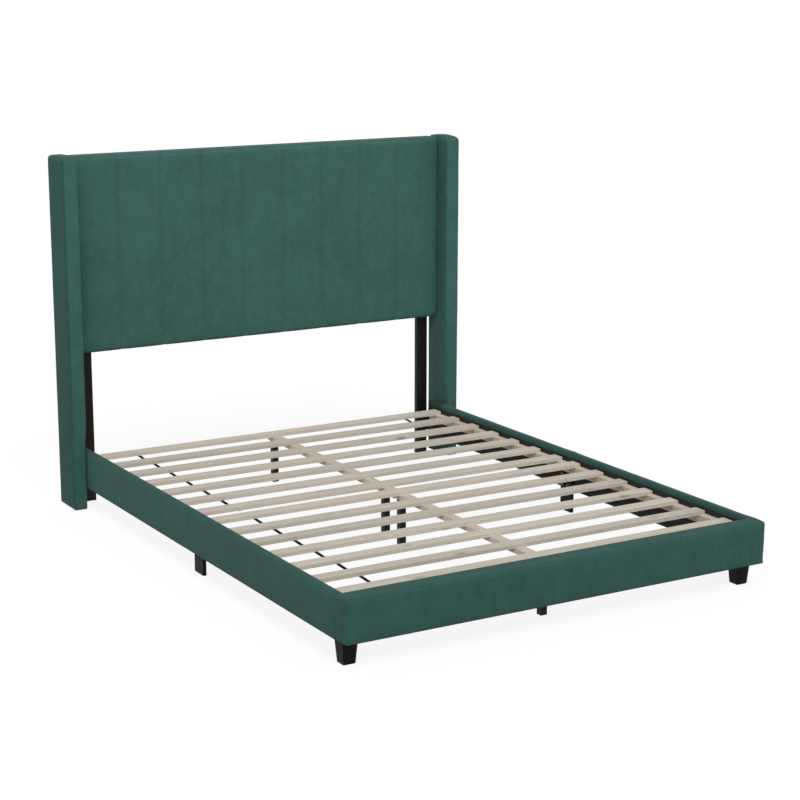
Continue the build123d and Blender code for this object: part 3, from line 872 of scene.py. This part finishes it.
def wing_pad_piece():
    """The right wing; its inner face stays flat where the panel and the rail meet it."""
    sizes = bpy.context.scene.bed_sizes
    low, high = pad_start("wing_cover_right", ((0, 0.0015, 0), (0.0025, 0, 0)))
    piece = new_block("wing_pad_right", low, high)
    panel_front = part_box("headboard_cover")[0].y

    def rounding(mid, way):
        if near(mid.z, high.z):
            return 0.5 if near(mid.y, high.y) else 1.0
        if near(mid.z, low.z):
            return 0.28
        return 0.40 if near(mid.y, low.y) else 0.5

    round_edges(piece, sizes.wing_rounding, rounding)
    cut_across(piece, UPWARD, even_places(low.z + 0.006, high.z - 0.015, 0.022))
    cut_across(piece, ALONG, even_places(low.y + 0.012, high.y - 0.009, 0.019))
    cut_across(piece, ACROSS, even_places(low.x + 0.012, high.x - 0.012, 0.010))

    def is_held(co):
        inner = co.x < low.x + 0.004 and (co.y > panel_front - 0.012 or co.z < 0.25)
        return inner or co.z < low.z + 0.008 or co.y > high.y - 0.006

    plump(piece, 0.0021, is_held)

    def depth(co, normal):
        seam = 0.0016 * bump_of(co.x - (low.x + 0.016), 0.004) if normal.y > 0.9 else 0.0
        joint = 0.0
        if co.x < low.x + 0.004:
            joint = 0.0012 * bump_of(co.y - panel_front, 0.012)
        free = clamped((co.z - low.z) / 0.05)
        return seam + joint + slack_at(co, 0.00045, 8.0) * free

    press(piece, depth)
    rail_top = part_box("rail_cover_right_head")[1].z
    middle = (low + high) / 2
    for point in piece.data.vertices:
        co = point.co
        inside = share_between(co.x, low.x + 0.030, low.x)
        ahead = share_between(co.y, panel_front - 0.004, low.y + 0.020)
        above = share_between(co.z, rail_top + 0.004, rail_top + 0.110)
        across = (co.x - middle.x) / (middle.x - low.x)
        along = (co.y - middle.y) / (middle.y - low.y)
        crown = sizes.wing_crown * max(0.0, 1 - across ** 6) * max(0.0, 1 - along ** 2) - 0.0015
        co.z += crown * share_between(co.z, high.z - 0.035, high.z - 0.004)
        co.x -= sizes.wing_swell * inside * ahead * above
    subdivide_smooth(piece)
    return piece


def step_in(piece, axis, inner, depth, top):
    """Set the inner face back below the edge of the velvet folded over onto it, where the lining
    lies on it.
    """
    cut_across(piece, UPWARD, (top - 0.0008, top))
    way = math.copysign(1, depth)

    def below_edge(mid, normal):
        return normal[axis] * way < -0.9 and near(mid[axis], inner) and mid.z < top - 0.001

    start_edit(piece)
    pick(piece, "FACE", below_edge)
    bpy.ops.transform.translate(value=on_axis(axis, depth))
    stop_edit()


def rail_pad_piece(half):
    """The right rail's foot or head half, flat where it meets the ledger, wing and other half."""
    sizes = bpy.context.scene.bed_sizes
    node = f"rail_cover_right_{half}"
    low, high = pad_start(node, ((0, 0, 0), (0.0014, 0, 0.0008)))
    velvet_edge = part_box("inner_linings")[1].z
    wing_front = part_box("wing_cover_right")[0].y
    piece = new_block(f"rail_pad_right_{half}", low, high)

    def rounding(mid, way):
        if abs(way.y) > 0.9:
            return 1.0 if near(mid.z, high.z) else 0.4
        return 0.28

    round_edges(piece, sizes.rail_rounding, rounding, segments=4)
    ends = (low.y + 0.008, low.y + 0.016, high.y - 0.008, high.y - 0.016)
    cut_across(piece, ALONG, (*ends, *even_places(low.y + 0.016, high.y - 0.016, 0.024)))
    cut_across(piece, UPWARD, even_places(low.z + 0.005, high.z - 0.011, 0.0155))
    step_in(piece, ACROSS, low.x, 0.0009, velvet_edge)

    def is_held(co):
        ending = min(co.y - low.y, high.y - co.y) < 0.005
        return ending or co.x < low.x + 0.008 or co.z < low.z + 0.006 or co.y > wing_front - 0.01

    plump(piece, 0.0016, is_held)

    def depth(co, normal):
        if co.x < low.x + 0.008 or co.z < low.z + 0.006:
            return 0.0
        end = min(co.y - low.y, high.y - co.y)
        pucker = 0.00035 * math.sin(co.z * 520 + 3 * noise.noise(co * 30)) * bump_of(end, 0.018)
        return slack_at(co, 0.0005, 7.0) + pucker

    press(piece, depth)
    subdivide_smooth(piece)
    return piece


def footboard_pad_piece():
    """The footboard: large roundings in front, a crisp inner top edge."""
    sizes = bpy.context.scene.bed_sizes
    low, high = pad_start("footboard_cover", ((0.001, 0.0018, 0), (0.001, 0, 0.0008)))
    velvet_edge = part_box("inner_linings")[1].z
    piece = new_block("footboard_pad", low, high)

    def rounding(mid, way):
        if near(mid.z, low.z):
            return 0.2
        if near(mid.z, high.z):
            if near(mid.y, low.y):
                return 0.9
            return 0.18 if near(mid.y, high.y) else 0.5
        return 1.0 if near(mid.y, low.y) else 0.14

    round_edges(piece, sizes.footboard_rounding, rounding, segments=6)
    side = (high.x - 0.026, high.x - 0.034)
    cut_across(piece, ACROSS, (*side, *(-place for place in side)))
    cut_across(piece, ACROSS, even_places(low.x + 0.034, high.x - 0.034, 0.025))
    cut_across(piece, UPWARD, even_places(low.z + 0.005, high.z - 0.019, 0.0145))
    cut_across(piece, ALONG, even_places(low.y + 0.021, high.y - 0.004, 0.010))
    step_in(piece, ALONG, high.y, -0.0009, velvet_edge)

    def is_held(co):
        return co.y > high.y - 0.006 or co.z < low.z + 0.005

    plump(piece, 0.0018, is_held)

    def depth(co, normal):
        if co.y > high.y - 0.004 or co.z < low.z + 0.005:
            return 0.0
        edge = high.x - abs(co.x)
        ripple = math.sin(co.z * 480 + 4 * noise.noise(co * 25))
        pucker = 0.0004 * ripple * bump_of(high.y - co.y, 0.02) * bump_of(edge, 0.004)
        return slack_at(co, 0.0005, 7.0) + pucker

    press(piece, depth)
    for point in piece.data.vertices:
        co = point.co
        side = share_between(abs(co.x), high.x - 0.030, high.x - 0.003)
        below = share_between(co.z, low.z + 0.075, low.z + 0.004)
        co.x -= math.copysign(sizes.footboard_tuck * side * below, co.x)
    subdivide_smooth(piece)
    return piece


def dress_pad(piece, material, *nodes):
    coat(piece, material)
    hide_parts(*nodes)
    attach(piece, "frame")


# Linings, staples and straps

def staple_row(name, first, step, count, crown, thickness_axis, body):
    """A row of flat staple crowns, each a bevelled bar along the crown axis."""
    size = on_axis(crown, STAPLE_LENGTH, STAPLE_WIDTH)
    size[thickness_axis] = STAPLE_HEIGHT
    half = Vector(size) / 2
    start = Vector(first)
    piece = new_block(name, start - half, start + half)
    start_edit(piece)
    bpy.ops.mesh.bevel(offset=0.0002, segments=1, affect="EDGES")
    stop_edit()
    copies_joined(piece, [Vector(step) * index for index in range(1, count)])
    coat(piece, zinc())
    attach(piece, body)


def lining_piece(name, low, high, long_axis):
    piece = new_block(name, low, high)
    cut_across(piece, long_axis, even_places(low[long_axis], high[long_axis], 0.04))
    cut_across(piece, UPWARD, even_places(low[UPWARD], high[UPWARD], 0.03))
    smooth_softly(piece)
    coat(piece, shared(lining_finish, "black_lining", colour_of("lining")))
    return piece


def declare_lining(piece, node):
    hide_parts(node)
    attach(piece, "frame")


def strap_pieces(half):
    """Two straps under the seven slats of one mat, each hanging slightly between the slats."""
    sag = bpy.context.scene.bed_sizes.strap_sag
    low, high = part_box(f"straps_{half}")
    slats = [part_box(f"slat_{number:02d}") for number in SLAT_NUMBERS[half]]
    gaps = [(before[1].y, after[0].y) for before, after in zip(slats, slats[1:])]
    piece = new_block(f"webbing_{half}", low, (low.x + STRAP_WIDTH, high.y, high.z))
    cuts = []
    for start, end in gaps:
        cuts.extend((start, end, *even_places(start, end, 0.012)))
    cut_across(piece, ALONG, cuts)
    cut_across(piece, ACROSS, even_places(low.x, low.x + STRAP_WIDTH, 0.004))
    for point in piece.data.vertices:
        for start, end in gaps:
            if start < point.co.y < end:
                part = (point.co.y - start) / (end - start)
                point.co.z -= sag * math.sin(math.pi * part) ** 2
    smooth_softly(piece)
    copies_joined(piece, [(high.x - low.x - STRAP_WIDTH, 0, 0)])
    coat(piece, shared(webbing_finish, "strap_webbing", colour_of("black_lacquer")))
    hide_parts(f"straps_{half}")
    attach(piece, f"slat_mat_{half}")
    middle = (slats[0][0].y + slats[0][1].y) / 2
    step = (0, slats[1][0].y - slats[0][0].y, 0)
    for side, place in (("left", low.x + STRAP_WIDTH / 2), ("right", high.x - STRAP_WIDTH / 2)):
        name = f"strap_staples_{half}_{side}"
        first = (place, middle, low.z - STAPLE_HEIGHT / 2)
        staple_row(name, first, step, len(slats), ACROSS, UPWARD, f"slat_mat_{half}")


# Operators, one for each piece or group of like pieces

class BED_OT_studio(bpy.types.Operator):
    """Lay the pale floor, set the lights and point the camera"""

    bl_idname = "bed.studio"
    bl_label = "Studio"

    def execute(self, context):
        scene = context.scene
        scene.view_settings.view_transform = "Standard"
        deselect_all()
        bpy.ops.mesh.primitive_plane_add(size=160, location=(0, 0, 0))
        floor = context.active_object
        floor.name = "studio_floor"
        bpy.ops.object.transform_apply(location=True, rotation=True, scale=True)
        coat(floor, self.floor_material())
        self.light_world(scene)
        sun = bpy.data.lights.new("softbox_sun", "SUN")
        sun.energy = 2.0
        sun.angle = math.radians(38)
        lamp = bpy.data.objects.new("softbox_sun", sun)
        scene.collection.objects.link(lamp)
        lamp.rotation_euler = Vector(SUN_FROM).to_track_quat("Z", "Y").to_euler()
        lens = bpy.data.cameras.new("photo_camera")
        lens.sensor_width = 36
        lens.lens = CAMERA_LENS
        lens.clip_end = 200
        camera = bpy.data.objects.new("photo_camera", lens)
        scene.collection.objects.link(camera)
        camera.location = CAMERA_PLACE
        camera.rotation_euler = [math.radians(degrees) for degrees in CAMERA_TURN]
        scene.camera = camera
        return {"FINISHED"}

    def floor_material(self):
        """White to the camera and in reflections, with the bed's faint shadow left in it."""
        finish = Finish("studio_white")
        glow = finish.add("ShaderNodeEmission", Color=WHITE, Strength=1.03)
        seen = finish.seen_rays()
        tone = finish.mixed(seen, (0.55, 0.55, 0.55), (0.90, 0.90, 0.90))
        finish.feed(finish.shader, Roughness=0.9, Base_Color=tone)
        share = finish.math("MULTIPLY", seen, 0.84)
        finish.show_mix(share, finish.shader.outputs[0], glow.outputs[0], "Material Output")
        return finish.material

    def light_world(self, scene):
        """Even pale light from all round; plain white to the camera and in reflections."""
        scene.world = bpy.data.worlds.new("studio_light")
        work = NodeWork(scene.world)
        lit = work.nodes["Background"]
        work.feed(lit, Color=WHITE, Strength=0.5)
        white = work.add("ShaderNodeBackground", Color=WHITE, Strength=1.0)
        work.show_mix(work.seen_rays(), lit.outputs[0], white.outputs[0], "World Output")


class BED_OT_headboard_pad(bpy.types.Operator):
    """Make the channelled headboard pad"""

    bl_idname = "bed.headboard_pad"
    bl_label = "Headboard pad"

    def execute(self, context):
        dress_pad(headboard_pad_piece(), panel_velvet(), "headboard_cover", "headboard_foam")
        return {"FINISHED"}


class BED_OT_headboard_back(bpy.types.Operator):
    """Stretch the black lining over the headboard's back and staple it"""

    bl_idname = "bed.headboard_back"
    bl_label = "Headboard back"

    def execute(self, context):
        pitch = context.scene.bed_sizes.staple_pitch
        low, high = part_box("headboard_back_cloth")
        piece = lining_piece("back_lining", low, high, ACROSS)
        for point in piece.data.vertices:
            co = point.co
            edge = min(co.x - low.x, high.x - co.x, co.z - low.z, high.z - co.z)
            slack = 0.5 + 0.5 * noise.noise(co * 7)
            co.y += 0.0006 * slack * min(1.0, edge / 0.06)
        declare_lining(piece, "headboard_back_cloth")
        left, right = low.x + STAPLE_INSET, high.x - STAPLE_INSET
        bottom, top = low.z + STAPLE_INSET, high.z - STAPLE_INSET
        face = high.y + STAPLE_HEIGHT / 2
        across = int((right - left) / pitch)
        upward = int((top - bottom) / pitch)
        step = ((right - left) / across, 0, 0)
        for label, height in (("top", top), ("bottom", bottom)):
            first = (left, face, height)
            staple_row(f"back_staples_{label}", first, step, across + 1, ACROSS, ALONG, "frame")
        step = (0, 0, (top - bottom) / upward)
        for label, place in (("left", left), ("right", right)):
            first = (place, face, bottom + step[UPWARD])
            staple_row(f"back_staples_{label}", first, step, upward - 1, UPWARD, ALONG, "frame")
        return {"FINISHED"}


class BED_OT_wing_pads(bpy.types.Operator):
    """Make the two upright wings"""

    bl_idname = "bed.wing_pads"
    bl_label = "Wings"

    def execute(self, context):
        right = wing_pad_piece()
        left = mirrored_copy(right, "wing_pad_left")
        dress_pad(right, wing_velvet(), "wing_cover_right")
        dress_pad(left, wing_velvet(), "wing_cover_left")
        return {"FINISHED"}


class BED_OT_rail_pads(bpy.types.Operator):
    """Make the padded side rails, each in a foot half and a head half"""

    bl_idname = "bed.rail_pads"
    bl_label = "Side rails"

    def execute(self, context):
        for half in HALVES:
            right = rail_pad_piece(half)
            left = mirrored_copy(right, f"rail_pad_left_{half}")
            dress_pad(right, velvet(), f"rail_cover_right_{half}")
            dress_pad(left, velvet(), f"rail_cover_left_{half}")
        return {"FINISHED"}


class BED_OT_footboard_pad(bpy.types.Operator):
    """Make the padded footboard"""

    bl_idname = "bed.footboard_pad"
    bl_label = "Footboard"

    def execute(self, context):
        # Painted shade: a slightly darker copy of the velvet, with lighter painted shade on its
        # top than the rails.
        cloth = velvet("footboard_velvet", 0.95, 0.95)
        dress_pad(footboard_pad_piece(), cloth, "footboard_cover")
        return {"FINISHED"}


class BED_OT_inner_linings(bpy.types.Operator):
    """Line the inner faces of the rails and the footboard"""

    bl_idname = "bed.inner_linings"
    bl_label = "Inner linings"

    def execute(self, context):
        low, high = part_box("inner_linings")
        bottom = low.z + 0.003
        top = high.z
        for side, way in SIDES.items():
            for half in HALVES:
                low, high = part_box(f"rail_cover_right_{half}")
                ends = sorted((low.x * way, (low.x + LINING_THICKNESS) * way))
                low = Vector((ends[0], low.y + 0.003, bottom))
                high = Vector((ends[1], high.y - 0.003, top))
                piece = lining_piece(f"lining_{side}_{half}", low, high, ALONG)
                declare_lining(piece, "inner_linings")
        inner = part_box("footboard_cover")[1].y
        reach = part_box("rail_cover_right_foot")[0].x - 0.001
        low = Vector((-reach, inner - LINING_THICKNESS, bottom))
        high = Vector((reach, inner, top))
        piece = lining_piece("lining_footboard", low, high, ACROSS)
        declare_lining(piece, "inner_linings")
        return {"FINISHED"}


class BED_OT_straps(bpy.types.Operator):
    """Make the webbing straps that hold each mat of slats together"""

    bl_idname = "bed.straps"
    bl_label = "Slat straps"

    def execute(self, context):
        for half in HALVES:
            strap_pieces(half)
        return {"FINISHED"}


class BED_OT_wood_finishes(bpy.types.Operator):
    """Finish the slats, ledgers, beam, legs, posts and hidden boards"""

    bl_idname = "bed.wood_finishes"
    bl_label = "Wood finishes"

    def execute(self, context):
        pale = colour_of("slat_wood")
        low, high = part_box("slat_01")
        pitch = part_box("slat_02")[0].y - low.y
        rows = (ACROSS, ALONG, (low.y + high.y - pitch) / 2, pitch)
        # Painted light: the slats' sides are paler, by the default edge factor.
        slats = planed_wood_finish("slat_poplar", pale, *rows, face=high.z)
        coat_nodes([f"slat_{number:02d}" for number in range(1, 15)], slats)
        columns = (ALONG, ACROSS, -0.4, 0.8)
        # The ledgers' wood is a little warmer, and paler as painted light for their place in shade
        # between the slats.
        warm_and_painted_pale = tinted(pale, (1.20, 1.14, 1.08))
        ledgers = planed_wood_finish("ledger_poplar", warm_and_painted_pale, *columns)
        coat_nodes(all_halves("ledger"), ledgers)
        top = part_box("beam_foot")[1].z
        # Painted light: the beam's sides, in shade under the slats, are made much paler.
        beams = planed_wood_finish("beam_poplar", pale, *columns, face=top, sawn=1.38)
        coat_nodes(["beam_foot", "beam_head"], beams)
        black = colour_of("black_lacquer")
        posts = lacquer_finish("satin_lacquer", black, 0.20)
        coat_nodes(["post_left", "post_right", "centre_legs"], posts)
        # Painted shade: the legs take the black at half its brightness, darker than the posts.
        legs = lacquer_finish("matt_lacquer", shade(black, 0.5), 0.09)
        coat_nodes(both_sides("mid_leg") + both_sides("corner_leg"), legs)
        uprights = both_sides("wing_core") + ["headboard_stiles", "corner_blocks"]
        boards = (
            ("lengthways", ALONG, all_halves("rail_core")),
            ("across", ACROSS, ["footboard_core", "headboard_rails"]),
            ("upright", UPWARD, uprights),
        )
        for way, axis, names in boards:
            coat_nodes(names, sawn_board_finish(f"sawn_pine_{way}", INNER_WOOD, axis))
        coat_nodes(["headboard_board"], plywood_finish("birch_plywood", INNER_PLYWOOD))
        return {"FINISHED"}


class BED_OT_steel_finishes(bpy.types.Operator):
    """Finish the brackets, plates, bolts and screws"""

    bl_idname = "bed.steel_finishes"
    bl_label = "Steel finishes"

    def execute(self, context):
        plates = ["beam_joint_plate", "beam_foot_bracket"]
        bolts = ["frame_bolts", "headboard_bolts", "hanger_bolts"]
        screws = ["ledger_screws", "beam_screws"]
        coat_nodes(plates + bolts + screws, zinc())
        black = colour_of("black_lacquer")
        coat_nodes(["head_brackets"], powder_finish("black_powder_coat", black))
        return {"FINISHED"}


class BED_PT_bed(bpy.types.Panel):
    """Sizes, colours and pieces of the bed"""

    bl_idname = "BED_PT_bed"
    bl_label = "Wingback bed"
    bl_space_type = "VIEW_3D"
    bl_region_type = "UI"
    bl_category = "Bed"

    def draw(self, context):
        layout = self.layout
        for settings in (context.scene.bed_sizes, context.scene.bed_colours):
            box = layout.box()
            for name in settings.__annotations__:
                box.prop(settings, name)
        for operator in OPERATORS:
            layout.operator(operator.bl_idname)


OPERATORS = (
    BED_OT_studio,
    BED_OT_headboard_pad,
    BED_OT_headboard_back,
    BED_OT_wing_pads,
    BED_OT_rail_pads,
    BED_OT_footboard_pad,
    BED_OT_inner_linings,
    BED_OT_straps,
    BED_OT_wood_finishes,
    BED_OT_steel_finishes,
)
CLASSES = (BedSizes, BedColours, *OPERATORS, BED_PT_bed)


def register():
    for item in CLASSES:
        bpy.utils.register_class(item)
    bpy.types.Scene.bed_sizes = PointerProperty(type=BedSizes)
    bpy.types.Scene.bed_colours = PointerProperty(type=BedColours)


def unregister():
    del bpy.types.Scene.bed_colours
    del bpy.types.Scene.bed_sizes
    for item in reversed(CLASSES):
        bpy.utils.unregister_class(item)


def main():
    register()
    bpy.ops.bed.studio()
    bpy.ops.bed.headboard_pad()
    bpy.ops.bed.headboard_back()
    bpy.ops.bed.wing_pads()
    bpy.ops.bed.rail_pads()
    bpy.ops.bed.footboard_pad()
    bpy.ops.bed.inner_linings()
    bpy.ops.bed.straps()
    bpy.ops.bed.wood_finishes()
    bpy.ops.bed.steel_finishes()


if __name__ == "__main__":
    main()
